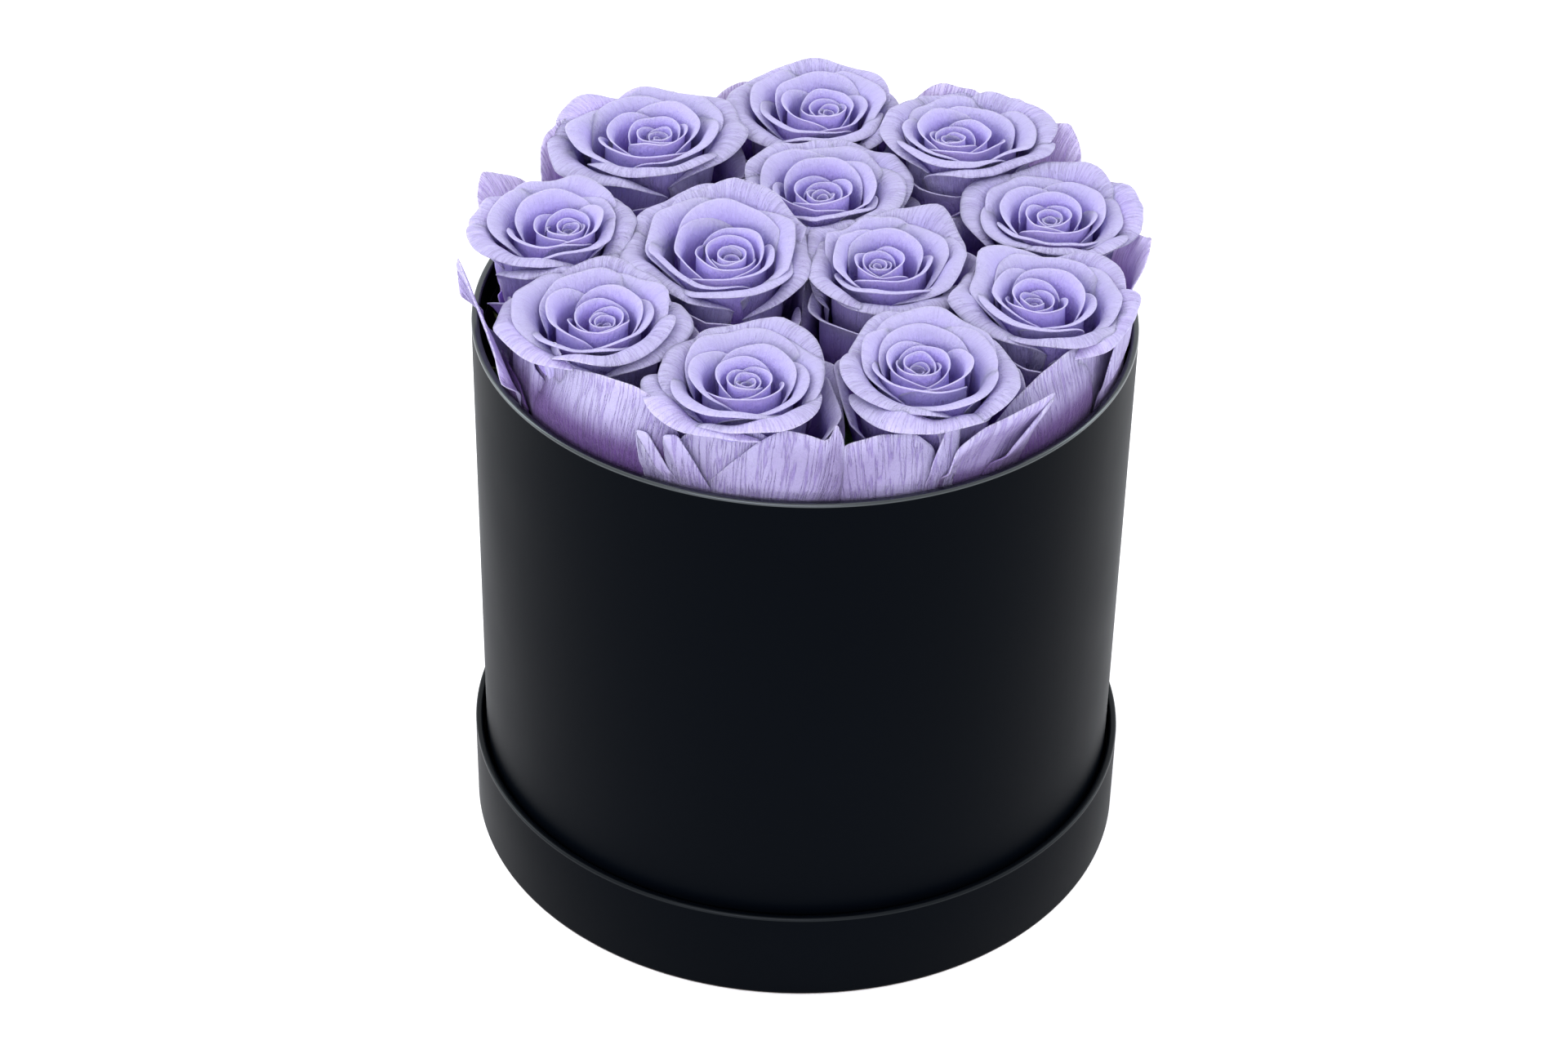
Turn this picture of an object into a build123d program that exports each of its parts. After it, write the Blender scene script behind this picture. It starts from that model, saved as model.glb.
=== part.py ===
"""Round flower box: a wrapped board box standing in its own upturned lid.

Inside, a board riser and platform carry a disc of floral foam, and twelve
preserved roses stand in it on short stems, nine in a ring round three.
Millimetres, +Z up, origin at the centre of the lid's underside, front at -Y.
"""

import os
from dataclasses import dataclass
from math import cos, hypot, radians, sin

from build123d import *

# Board box and lid
BOX_DIAMETER = 200.0  # over the wrap
BODY_HEIGHT = 181.0  # from the underside of the base cover to the rim
LID_HEIGHT = 31.3  # from the surface it stands on to its open edge
BOARD = 2.0  # greyboard of every wall and panel
PAPER = 0.2  # wraps, covers and linings
EDGE_ROUND = 0.8  # on the board's open edges, under the wrap
LID_GAP = 0.9  # radial room between the box's wrap and the lid's lining
TURN_IN = 15.0  # wrap folded down inside an open edge
TURN_UNDER = 10.0  # wrap folded in under a panel
COVER_MARGIN = 4.0  # from the wrap's edge to the cover under a panel
LINING_LAP = 5.0  # lining over the turned-in wrap

# Insert that holds the flowers
INSERT_GAP = 0.3  # radial room round the riser, the platform and the foam
FOAM_THICKNESS = 60.0
FOAM_BELOW_RIM = 36.0  # from the rim down to the top of the foam

# Roses, measured from the underside of the petals
BLOOM_RADIUS = 27.5
BLOOM_HEIGHT = 52.0
BLOOM_BASE_RADIUS = 8.0
BLOOM_ROUND = 5.0
PETALS_BELOW_RIM = 24.0
SEAT_RADIUS = 6.5  # the green receptacle under the petals
SEAT_HEIGHT = 9.0
SEPAL_COUNT = 5
SEPAL_REACH = 25.0
SEPAL_WIDTH = 9.0
SEPAL_RISE = 11.0
SEPAL_THICKNESS = 0.8
STEM_DIAMETER = 5.0
STEM_LENGTH = 43.0
STEM_POINT = 7.0  # length of the cut point
STEM_FIT = 0.05  # radial room in the foam
STEM_HOLE_SPARE = 1.0  # hole below the point
PETAL_GAP = 0.6  # between two blooms
RIM_GAP = 0.5  # between petals and the box's mouth

# Where the roses stand: degrees round the box from +X, and millimetres up
OUTER_INSET = 22.4  # from the box's mouth to the outer ring's axes
INNER_RING = 27.0  # radius of the inner ring
OUTER_ROSES = [
    (-103, -1.5),
    (-62, -1.0),
    (-21, -2.0),
    (13, -1.0),
    (49, 3.0),
    (88, 1.0),
    (132, 1.5),
    (180, 2.5),
    (216, 0.5),
]
INNER_ROSES = [(82, 1.0), (201, 2.0), (-27, 0.0)]


@dataclass(frozen=True)
class Shell:
    """A wrapped board cup: the box's body, or the lid lying on its top."""

    outer: float  # radius over the wrap
    low: float  # underside of the cover
    high: float  # open edge, over the wrap

    @property
    def board_outer(self):
        return self.outer - PAPER

    @property
    def board_inner(self):
        return self.board_outer - BOARD

    @property
    def mouth(self):
        """Clear radius inside the lining where it laps the turned-in wrap."""
        return self.board_inner - 2 * PAPER

    @property
    def wrap_low(self):
        return self.low + PAPER

    @property
    def panel_low(self):
        return self.wrap_low + PAPER

    @property
    def floor(self):
        """Top of the lining on the panel, where things stand inside."""
        return self.panel_low + BOARD + PAPER


@dataclass(frozen=True)
class Rose:
    """One rose's name, its axis and the level of its petals' underside."""

    name: str
    x: float
    y: float
    base: float


def block(inner, outer, low, high):
    """The half section of a ring or disc, in the XZ plane."""
    corners = [(inner, 0, low), (outer, 0, low), (outer, 0, high), (inner, 0, high)]
    return make_face(Polyline(*corners, close=True))


def turned(section):
    """A half section turned round the box's axis."""
    return revolve(section, Axis.Z)


def ring(inner, outer, low, high):
    return turned(block(inner, outer, low, high))


def rounded_top(section, radius):
    """Rounds the two upper corners of a half section."""
    return fillet(section.vertices().group_by(Axis.Z)[-1], radius)


def wall_sections(shell):
    """Half sections of a shell's wall board and of the paper wrapped over it."""
    board = block(shell.board_inner, shell.board_outer, shell.panel_low, shell.high - PAPER)
    board = rounded_top(board, EDGE_ROUND)
    skin = block(shell.board_inner - PAPER, shell.outer, shell.wrap_low, shell.high)
    skin = rounded_top(skin, EDGE_ROUND + PAPER)
    bare = block(
        shell.board_inner - 2 * PAPER,
        shell.board_inner,
        shell.wrap_low - PAPER,
        shell.high - TURN_IN,
    )
    under = block(
        shell.board_inner - TURN_UNDER,
        shell.board_outer,
        shell.wrap_low,
        shell.panel_low,
    )
    return board, skin - bare - board + under


def lining_section(shell):
    """Half section of the wall lining, stepped in where it laps the wrap."""
    step = shell.high - TURN_IN
    outline = [
        (shell.board_inner, shell.floor),
        (shell.board_inner, step),
        (shell.board_inner - PAPER, step),
        (shell.board_inner - PAPER, step + LINING_LAP),
        (shell.board_inner - 2 * PAPER, step + LINING_LAP),
        (shell.board_inner - 2 * PAPER, step - PAPER),
        (shell.board_inner - PAPER, step - PAPER),
        (shell.board_inner - PAPER, shell.floor),
    ]
    return make_face(Polyline(*[(r, 0, z) for r, z in outline], close=True))


def cover_section(shell):
    """Half section of the paper under a panel, filling in to the wrap's edge."""
    fill = block(0, shell.board_inner - TURN_UNDER, shell.wrap_low, shell.panel_low)
    return block(0, shell.outer - COVER_MARGIN, shell.low, shell.wrap_low) + fill


def shell_parts(shell, wall, panel):
    """The six pieces of a shell, named after its wall and its panel."""
    board, wrap = wall_sections(shell)
    panel_top = shell.panel_low + BOARD
    return {
        f"{wall}_board": turned(board),
        f"{wall}_wrap": turned(wrap),
        f"{wall}_lining": turned(lining_section(shell)),
        f"{panel}_board": ring(0, shell.board_inner, shell.panel_low, panel_top),
        f"{panel}_cover": turned(cover_section(shell)),
        f"{panel}_lining": ring(0, shell.board_inner, panel_top, shell.floor),
    }


def place_roses(box):
    """The twelve roses, the outer ring first and then the inner one."""
    level = box.high - PETALS_BELOW_RIM
    rings = [(box.mouth - OUTER_INSET, OUTER_ROSES), (INNER_RING, INNER_ROSES)]
    spots = [(radius, *spot) for radius, ring_spots in rings for spot in ring_spots]
    return [
        Rose(
            f"rose_{number:02d}",
            radius * cos(radians(angle)),
            radius * sin(radians(angle)),
            level + lift,
        )
        for number, (radius, angle, lift) in enumerate(spots, 1)
    ]


def keep_to_cell(part, rose, roses):
    """Cuts a part back from the planes halfway to the roses round it."""
    for other in roses:
        dx, dy = other.x - rose.x, other.y - rose.y
        apart = hypot(dx, dy)
        if 0 < apart < 2 * BLOOM_RADIUS + PETAL_GAP:
            share = (apart - PETAL_GAP) / 2 / apart
            origin = (rose.x + share * dx, rose.y + share * dy, rose.base)
            part = split(part, Plane(origin, z_dir=(dx, dy, 0)), keep=Keep.BOTTOM)
    return part


def clear_of_rim(part, box):
    """Cuts a part back inside the box's mouth, below the rim."""
    reach = BOX_DIAMETER
    return part - ring(box.mouth - RIM_GAP, reach, box.low, box.high + RIM_GAP)


def bloom_section():
    """Half section of a full rose: narrow at its seat, widest near the lips."""
    outline = [
        (0, 0),
        (BLOOM_BASE_RADIUS, 0),
        (0.62 * BLOOM_RADIUS, 0.15 * BLOOM_HEIGHT),
        (0.82 * BLOOM_RADIUS, 0.46 * BLOOM_HEIGHT),
        (BLOOM_RADIUS, 0.80 * BLOOM_HEIGHT),
        (0.90 * BLOOM_RADIUS, 0.96 * BLOOM_HEIGHT),
        (0, BLOOM_HEIGHT),
    ]
    face = make_face(Polyline(*[(r, 0, z) for r, z in outline], close=True))
    rim = face.vertices().filter_by(lambda v: v.X > BLOOM_BASE_RADIUS + PAPER)
    return fillet(rim, BLOOM_ROUND)


def make_bloom(rose, roses, box):
    bloom = Pos(rose.x, rose.y, rose.base) * turned(bloom_section())
    return clear_of_rim(keep_to_cell(bloom, rose, roses), box)


def sepal_star():
    """Five leaf shapes from the centre, seen from above."""
    half = SEPAL_WIDTH / 2
    leaf = Polyline(
        (0, -half / 2),
        (0.4 * SEPAL_REACH, -half),
        (0.75 * SEPAL_REACH, -half / 2),
        (SEPAL_REACH, 0),
        (0.75 * SEPAL_REACH, half / 2),
        (0.4 * SEPAL_REACH, half),
        (0, half / 2),
        close=True,
    )
    turn = 360 / SEPAL_COUNT
    leaves = [Rot(0, 0, turn * n) * make_face(leaf) for n in range(SEPAL_COUNT)]
    return Sketch() + leaves


def calyx_shape():
    """Receptacle and sepals, with the petals' underside at Z 0."""
    under = SEAT_HEIGHT / 3
    dish = Spline(
        (0, 0, -under),
        (0.5 * SEPAL_REACH, 0, -under + 0.3 * SEPAL_RISE),
        (SEPAL_REACH, 0, -under + SEPAL_RISE),
    )
    raised = Pos(0, 0, SEPAL_THICKNESS) * dish
    ends = [Line(dish @ end, raised @ end) for end in (0, 1)]
    bowl = revolve(make_face([dish, raised, *ends]), Axis.Z)
    depth = SEAT_HEIGHT + SEPAL_RISE
    star = Pos(0, 0, -SEAT_HEIGHT) * extrude(sepal_star(), depth)
    stem = STEM_DIAMETER / 2
    outline = [
        (0, -SEAT_HEIGHT),
        (stem, -SEAT_HEIGHT),
        (0.9 * SEAT_RADIUS, -0.55 * SEAT_HEIGHT),
        (SEAT_RADIUS, 0),
        (0, 0),
    ]
    seat = turned(make_face(Polyline(*[(r, 0, z) for r, z in outline], close=True)))
    return (bowl & star) + seat


def make_calyx(rose, roses, box):
    turn = (hypot(rose.x, rose.y) + rose.x) % (360 / SEPAL_COUNT)
    calyx = Pos(rose.x, rose.y, rose.base) * Rot(0, 0, turn) * calyx_shape()
    return clear_of_rim(keep_to_cell(calyx, rose, roses), box)


def stem_tip(rose):
    return rose.base - SEAT_HEIGHT - STEM_LENGTH


def make_stem(rose):
    """A straight stem with its lower end cut to a point."""
    top, tip, radius = rose.base - SEAT_HEIGHT, stem_tip(rose), STEM_DIAMETER / 2
    outline = [(0, tip), (radius, tip + STEM_POINT), (radius, top), (0, top)]
    section = make_face(Polyline(*[(r, 0, z) for r, z in outline], close=True))
    return Pos(rose.x, rose.y, 0) * turned(section)


def make_foam(box, roses, low, high):
    """The foam disc, with a blind hole for each stem."""
    foam = ring(0, box.mouth - INSERT_GAP, low, high)
    for rose in roses:
        bottom = stem_tip(rose) - STEM_HOLE_SPARE
        hole = ring(0, STEM_DIAMETER / 2 + STEM_FIT, bottom, high + STEM_LENGTH)
        foam -= Pos(rose.x, rose.y, 0) * hole
    return foam


def insert_parts(box, roses):
    """Riser, platform and foam, stacked from the box's floor."""
    foam_top = box.high - FOAM_BELOW_RIM
    foam_low = foam_top - FOAM_THICKNESS
    platform_low = foam_low - BOARD
    outer = box.mouth - INSERT_GAP
    return {
        "riser_ring": ring(outer - BOARD, outer, box.floor, platform_low),
        "platform_board": ring(0, outer, platform_low, foam_low),
        "foam_disc": make_foam(box, roses, foam_low, foam_top),
    }


def build():
    """Every piece by its node's name."""
    outer = BOX_DIAMETER / 2
    lid_outer = outer + LID_GAP + 2 * PAPER + BOARD + PAPER
    lid = Shell(lid_outer, 0.0, LID_HEIGHT)
    box = Shell(outer, lid.floor, lid.floor + BODY_HEIGHT)
    roses = place_roses(box)
    parts = shell_parts(lid, "lid_band", "lid_panel")
    parts |= shell_parts(box, "box_wall", "box_base")
    parts |= insert_parts(box, roses)
    for rose in roses:
        parts[f"{rose.name}_bloom"] = make_bloom(rose, roses, box)
        parts[f"{rose.name}_calyx"] = make_calyx(rose, roses, box)
        parts[f"{rose.name}_stem"] = make_stem(rose)
    return parts


def main():
    os.makedirs("parts", exist_ok=True)
    for name, part in build().items():
        export_step(part, f"parts/{name}.step")


main()
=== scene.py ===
"""Looks of a round flower box: satin black paper and twelve preserved roses.

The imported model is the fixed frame. The petals are sheets worked out on
grids, and the papers are profiles turned round the box's axis. Lengths are
millimetres until a mesh is written, and angles are degrees in every field.
"""

from __future__ import annotations

import logging
import math
from dataclasses import dataclass, replace
from enum import Enum
from functools import partial
from typing import Any

import bpy
import numpy as np
from mathutils import Matrix, Vector


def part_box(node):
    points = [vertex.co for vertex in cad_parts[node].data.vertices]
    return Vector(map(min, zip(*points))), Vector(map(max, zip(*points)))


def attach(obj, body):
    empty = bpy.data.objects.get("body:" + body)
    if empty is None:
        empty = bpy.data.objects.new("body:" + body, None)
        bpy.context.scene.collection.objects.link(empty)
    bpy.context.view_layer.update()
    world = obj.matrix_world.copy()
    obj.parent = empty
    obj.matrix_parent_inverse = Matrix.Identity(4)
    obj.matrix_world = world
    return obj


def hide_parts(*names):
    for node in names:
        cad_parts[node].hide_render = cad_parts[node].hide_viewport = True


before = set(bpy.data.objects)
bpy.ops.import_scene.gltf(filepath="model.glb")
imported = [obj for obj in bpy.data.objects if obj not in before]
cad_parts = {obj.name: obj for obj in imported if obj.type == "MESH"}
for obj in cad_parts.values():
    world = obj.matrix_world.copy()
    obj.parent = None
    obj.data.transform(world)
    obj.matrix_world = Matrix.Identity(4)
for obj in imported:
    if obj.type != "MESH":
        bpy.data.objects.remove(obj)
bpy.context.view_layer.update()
LOG = logging.getLogger("flower_box")
MM = 0.001
TURN = 2 * math.pi
GOLDEN_ANGLE = 137.5

# Sockets of a Mix node that mixes colours: its share and two terms, its result
MIX_TERMS = (0, 6, 7)
MIX_RESULT = 2

Array = np.ndarray
Colour = tuple[float, float, float]
Material = bpy.types.Material
Node = bpy.types.Node
Output = tuple[Node, str | int]


# --------------------
# Small sums used by every piece


def smooth(x: Array) -> Array:
    """Runs from 0 at 0 to 1 at 1 with level ends, and stays flat outside."""
    x = np.clip(x, 0.0, 1.0)
    return x * x * (3.0 - 2.0 * x)


def soft_limit(x: Array, limit: Array, softness: float) -> Array:
    """Holds x under a limit: the smaller of the two, rounded where they meet.

    Args:
        x: Values to hold back.
        limit: The most that each may be.
        softness: Width of the rounding, in the values' own unit.

    Returns:
        The held values, which never reach past the limit.
    """
    return limit - softness * np.logaddexp(0.0, (limit - x) / softness)


def polar(radius: Array, angle: Array, height: Array, x: Any = 0.0, y: Any = 0.0) -> Array:
    """Points by radius and angle (radians) round the upright line at x and y."""
    across, back = x + radius * np.cos(angle), y + radius * np.sin(angle)
    return np.stack(np.broadcast_arrays(across, back, height), -1)


def lengths_up(points: Array) -> Array:
    """How far each point of a grid is from its column's foot, along the column."""
    run = np.linalg.norm(np.diff(points, axis=0, prepend=points[:1]), axis=-1)
    return np.cumsum(run, axis=0)


def scaled(colour: Colour, share: float) -> Colour:
    """A darker or paler tone of a colour."""
    return tuple(share * c for c in colour)


def corners_mm(node: str) -> tuple[Array, Array]:
    """Lowest and highest corner of a CAD node, in millimetres."""
    low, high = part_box(node)
    return np.array(low) / MM, np.array(high) / MM


# --------------------
# Meshes


@dataclass
class Sheet:
    """A grid of points with what its material reads at each of them.

    Attributes:
        points: Rows by columns by 3, in millimetres.
        across: Millimetres from the middle line, along a row.
        along: Millimetres from the base, up a column.
        painted_shade: Painted shade, 0 on open faces and 1 deep in the flower.
        edge: 1 on the free edge, falling to 0 inside it; on rose petals it also spans the rolled
            lip for a painted highlight.
        vein: How strongly the veins stand out.
    """

    points: Array
    across: Array
    along: Array
    painted_shade: Array
    edge: Array
    vein: Array


def grid_faces(rows: int, columns: int, closed: bool) -> Array:
    """Corner numbers of a grid's four-sided faces.

    Args:
        rows: Points along a column.
        columns: Points along a row.
        closed: Whether the last column joins the first.

    Returns:
        Faces by 4, turning so that they face away from a turned profile's axis.
    """
    last = columns if closed else columns - 1
    row, column = np.meshgrid(np.arange(rows - 1), np.arange(last), indexing="ij")
    here = row * columns + column
    right = row * columns + (column + 1) % columns
    return np.stack([here, right, right + columns, here + columns], -1).reshape(-1, 4)


def new_mesh(name: str, points: Array, faces: Array) -> bpy.types.Object:
    """A smooth-shaded object at the origin from points in millimetres."""
    mesh = bpy.data.meshes.new(name)
    mesh.from_pydata((points.reshape(-1, 3) * MM).tolist(), [], faces.tolist())
    mesh.polygons.foreach_set("use_smooth", np.ones(len(faces), dtype=bool))
    mesh.update()
    piece = bpy.data.objects.new(name, mesh)
    bpy.context.scene.collection.objects.link(piece)
    return piece


def join_sheets(name: str, sheets: list[Sheet]) -> bpy.types.Object:
    """Puts several sheets into one mesh, with their UV map and attributes.

    Args:
        name: The new object's name.
        sheets: Open grids, which stay separate islands.

    Returns:
        The object, carrying UV map "petal" in millimetres and the float
        attributes "shade", "edge" and "vein".
    """
    starts = np.cumsum([0] + [s.points[..., 0].size for s in sheets])
    faces = np.concatenate(
        [grid_faces(*s.points.shape[:2], False) + start for s, start in zip(sheets, starts)]
    )
    points = np.concatenate([s.points.reshape(-1, 3) for s in sheets])
    piece = new_mesh(name, points, faces)
    mesh = piece.data

    def joined(key: str) -> Array:
        return np.concatenate([getattr(sheet, key).ravel() for sheet in sheets])

    place = np.stack([joined("across"), joined("along")], -1)
    loops = np.empty(len(mesh.loops), dtype=np.int32)
    mesh.loops.foreach_get("vertex_index", loops)
    mesh.uv_layers.new(name="petal").data.foreach_set("uv", place[loops].ravel())
    for key in ("painted_shade", "edge", "vein"):
        layer = mesh.attributes.new(key, "FLOAT", "POINT")
        layer.data.foreach_set("value", joined(key).astype(np.float32))
    return piece


def turned_piece(name: str, profile: Array, segments: int = 512) -> bpy.types.Object:
    """Turns a closed profile round the Z axis.

    Args:
        name: The new object's name.
        profile: Points by 2, radius and height, going round anticlockwise
            with the radius to the right, and not repeating the first point.
        segments: Steps round the axis.

    Returns:
        A closed ring-shaped object whose faces point outwards.
    """
    angle = np.linspace(0.0, TURN, segments, endpoint=False)
    loop = np.vstack([profile, profile[:1]])
    radius, height = loop[:, :1], loop[:, 1:]
    points = polar(radius, angle, height)
    faces = grid_faces(len(profile) + 1, segments, True)
    return new_mesh(name, points[:-1], faces % (len(profile) * segments))


def rounded(corners: list[tuple[float, float, float]], steps: int = 8) -> Array:
    """A closed outline with each corner turned into an arc.

    Each corner is a radius, a height and the round's size. The arc is drawn
    as a curve that leaves one side and joins the next at the round's size
    from the corner, bending by the quadratic blend of the two sides.

    Args:
        corners: The outline's corners in order.
        steps: Points on each rounded corner.

    Returns:
        Points by 2.
    """
    places = np.array([c[:2] for c in corners])
    before = np.roll(places, 1, axis=0) - places
    after = np.roll(places, -1, axis=0) - places
    before /= np.linalg.norm(before, axis=1, keepdims=True)
    after /= np.linalg.norm(after, axis=1, keepdims=True)
    out = []
    for place, back, on, (_, _, size) in zip(places, before, after, corners):
        if size == 0:
            out.append(place[None])
            continue
        t = np.linspace(0.0, 1.0, steps)[:, None]
        out.append(place + size * ((1 - t) ** 2 * back + t ** 2 * on))
    return np.concatenate(out)


# --------------------
# Finishes


class Graph:
    """A material's node graph. Its calls take and give (node, output) pairs."""

    def __init__(self, name: str) -> None:
        """Starts a graph with a shader, an output and the object's coordinates."""
        self.material = bpy.data.materials.new(name)
        self.material.use_nodes = True
        self.tree = self.material.node_tree
        self.tree.nodes.clear()
        self.shader = self.add("ShaderNodeBsdfPrincipled")
        self.link((self.shader, "BSDF"), self.add("ShaderNodeOutputMaterial"), "Surface")
        self.place = (self.add("ShaderNodeTexCoord"), "Object")

    def add(self, kind: str, inputs: dict[str, Any] | None = None, **settings: Any) -> Node:
        """Adds a node, sets its properties and then its unlinked inputs."""
        node = self.tree.nodes.new(kind)
        for key, value in settings.items():
            setattr(node, key, value)
        for key, value in (inputs or {}).items():
            node.inputs[key].default_value = value
        return node

    def link(self, source: Output, target: Node, into: str | int) -> None:
        """Joins an output to an input of another node."""
        self.tree.links.new(source[0].outputs[source[1]], target.inputs[into])

    def fill(self, node: Node, into: str | int, term: Any) -> None:
        """Links a term if it is an output, and else sets it as number or colour."""
        if isinstance(term, tuple) and isinstance(term[0], Node):
            self.link(term, node, into)
        else:
            value = (*term, 1.0) if isinstance(term, tuple) else term
            node.inputs[into].default_value = value

    def maths(self, kind: str, first: Any, second: Any, clamp: bool = False) -> Output:
        """A Math node on two numbers or outputs."""
        node = self.add("ShaderNodeMath", operation=kind, use_clamp=clamp)
        self.fill(node, 0, first)
        self.fill(node, 1, second)
        return node, 0

    def mix(self, share: Any, first: Any, second: Any, blend: str = "MIX") -> Output:
        """A Mix of two colours or outputs."""
        node = self.add("ShaderNodeMix", data_type="RGBA", blend_type=blend)
        for into, term in zip(MIX_TERMS, (share, first, second)):
            self.fill(node, into, term)
        return node, MIX_RESULT

    def noise(self, scale: Any, detail: float, roughness: float = 0.5, distortion: float = 0.0,
              source: Output | None = None) -> Output:
        """A Noise texture on coordinates that are first stretched by scale."""
        stretch = self.add("ShaderNodeVectorMath", operation="MULTIPLY")
        self.link(source or self.place, stretch, 0)
        stretch.inputs[1].default_value = scale if isinstance(scale, tuple) else (scale,) * 3
        node = self.add("ShaderNodeTexNoise", {"Scale": 1.0, "Detail": detail,
                                               "Roughness": roughness, "Distortion": distortion})
        self.link((stretch, 0), node, "Vector")
        return node, "Fac"

    def ramp(self, source: Output, *stops: tuple[float, float]) -> Output:
        """A grey ColorRamp through the given places and values."""
        node = self.add("ShaderNodeValToRGB")
        elements = node.color_ramp.elements
        while len(elements) < len(stops):
            elements.new(0.5)
        for element, (place, value) in zip(elements, stops):
            element.position = place
            element.color = (value, value, value, 1.0)
        self.link(source, node, "Fac")
        return node, 0

    def bump(self, height: Output, depth_mm: float, under: Output | None = None) -> Output:
        """A Bump of a real depth, on top of another if one is given."""
        node = self.add("ShaderNodeBump", {"Strength": 1.0, "Distance": depth_mm * MM})
        self.link(height, node, "Height")
        if under is not None:
            self.link(under, node, "Normal")
        return node, "Normal"

    def finish(self, colour: Output, relief: Output | None = None,
               **sockets: float | tuple[float, ...]) -> Material:
        """Links the shader's colour and relief, and sets its own numbers."""
        self.link(colour, self.shader, "Base Color")
        if relief is not None:
            self.link(relief, self.shader, "Normal")
        for key, value in sockets.items():
            self.shader.inputs[key.replace("_", " ")].default_value = value
        return self.material


@dataclass(frozen=True)
class PetalFinish:
    """Velvety preserved petal: veins up it, fine grain, a paler edge, a painted highlight over the
    rolled lips and painted shade in its depths.

    Attributes:
        face: Colour of an open face.
        back: Colour of the outer petals' veined backs.
        lip: Colour of the paler free edge, and of the painted highlight over the rolled lip.
        deep_shade: Colour of the painted shade far down between the petals.
        low_shade: Colour of the painted shade low on the outer petals.
        furrow: Colour of the veins' furrows.
        vein_mm: Usual spacing of the veins.
        ridge_mm: Height of the ridges between the veins.
        crinkle_mm: Height of the wide, shallow crinkles.
        grain_mm: Height of the fine grain.
    """

    face: Colour = (0.398, 0.340, 0.810)
    back: Colour = (0.400, 0.362, 0.610)
    lip: Colour = (0.474, 0.440, 0.665)
    deep_shade: Colour = (0.320, 0.150, 0.850)
    low_shade: Colour = (0.066, 0.027, 0.130)
    furrow: Colour = (0.190, 0.130, 0.400)
    vein_mm: float = 0.6
    ridge_mm: float = 0.25
    crinkle_mm: float = 0.75
    grain_mm: float = 0.20

    def material(self) -> Material:
        """Builds the material from the petal map and its attributes."""
        g = Graph("petal")
        uv = (g.add("ShaderNodeUVMap", uv_map="petal"), "UV")
        painted_shade, edge, vein = ((g.add("ShaderNodeAttribute", attribute_name=key), "Fac")
                             for key in ("painted_shade", "edge", "vein"))
        veins = g.noise((0.5 / self.vein_mm, 0.040, 1.0), 2.0, 0.55, distortion=0.5, source=uv)
        lines = g.ramp(veins, (0.45, 1.0), (0.487, 0.30), (0.50, 0.0), (0.513, 0.30), (0.55, 1.0))
        crinkle = g.noise((0.9, 0.45, 1.0), 3.0, 0.55, source=uv)
        grain = g.noise(2600.0, 2.0, 0.6)
        blotch = g.noise(70.0, 3.0, 0.6)
        plain = g.mix(g.maths("POWER", vein, 2.0), self.face, self.back)
        mottle = g.mix(1.0, plain, g.ramp(blotch, (0.35, 1.0), (0.70, 0.93)), "MULTIPLY")
        # Paler free edge, and a painted highlight over the rolled lips
        pale_edge_and_highlight = g.mix(g.maths("MULTIPLY", edge, 0.8), mottle, self.lip)
        furrow = g.maths("MULTIPLY", g.maths("SUBTRACT", 1.0, lines), vein, clamp=True)
        lined = g.mix(g.maths("MULTIPLY", furrow, 0.60), pale_edge_and_highlight, self.furrow)
        # Painted shade: deep in the flower and low on the outer petals the colour turns to dark
        # violet shade colours
        coloured = g.mix(painted_shade, lined, g.mix(vein, self.deep_shade, self.low_shade))
        relief = g.bump(g.maths("MULTIPLY", lines, vein), self.ridge_mm)
        relief = g.bump(crinkle, self.crinkle_mm, relief)
        relief = g.bump(grain, self.grain_mm, relief)
        return g.finish(coloured, relief, Roughness=0.78, Sheen_Weight=0.15,
                        Sheen_Roughness=0.45, Sheen_Tint=(0.80, 0.75, 1.0, 1.0),
                        Specular_IOR_Level=0.22, Subsurface_Weight=0.45,
                        Subsurface_Radius=(1.0, 0.8, 1.2), Subsurface_Scale=3.0 * MM)


@dataclass(frozen=True)
class PaperFinish:
    """Smooth black paper: a faint cloud and a very fine tooth.

    Attributes:
        name: The material's name.
        colour: The paper's own colour.
        roughness: Gloss of the flat paper.
        gloss: Specular level.
        tooth_mm: Height of the tooth.
        tint: Colour of its highlights.
    """

    name: str = "satin_paper"
    colour: Colour = (0.0006, 0.0011, 0.0022)
    roughness: float = 0.40
    gloss: float = 0.021
    tooth_mm: float = 0.010
    tint: Colour = (0.88, 0.97, 1.0)

    def material(self) -> Material:
        """Builds the material on object coordinates."""
        g = Graph(self.name)
        cloud = g.noise(16.0, 3.0)
        fibre = g.noise((900.0, 900.0, 300.0), 3.0, 0.6)
        tone = g.mix(cloud, self.colour, scaled(self.colour, 1.35))
        rough = g.add("ShaderNodeMapRange", {"From Min": 0.3, "From Max": 0.7,
                                             "To Min": self.roughness - 0.03,
                                             "To Max": self.roughness + 0.04})
        g.link(cloud, rough, "Value")
        g.link((rough, "Result"), g.shader, "Roughness")
        return g.finish(tone, g.bump(fibre, self.tooth_mm), Specular_IOR_Level=self.gloss,
                        Specular_Tint=(*self.tint, 1.0))


def board_material() -> Material:
    """Raw greyboard with flecks of pulp."""
    grey = (0.30, 0.275, 0.245)
    g = Graph("greyboard")
    pulp = g.noise((500.0, 500.0, 900.0), 5.0, 0.65)
    tone = g.mix(g.ramp(pulp, (0.40, 0.0), (0.62, 1.0)), scaled(grey, 0.68), grey)
    return g.finish(tone, g.bump(pulp, 0.08), Roughness=0.92, Specular_IOR_Level=0.2)


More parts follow.
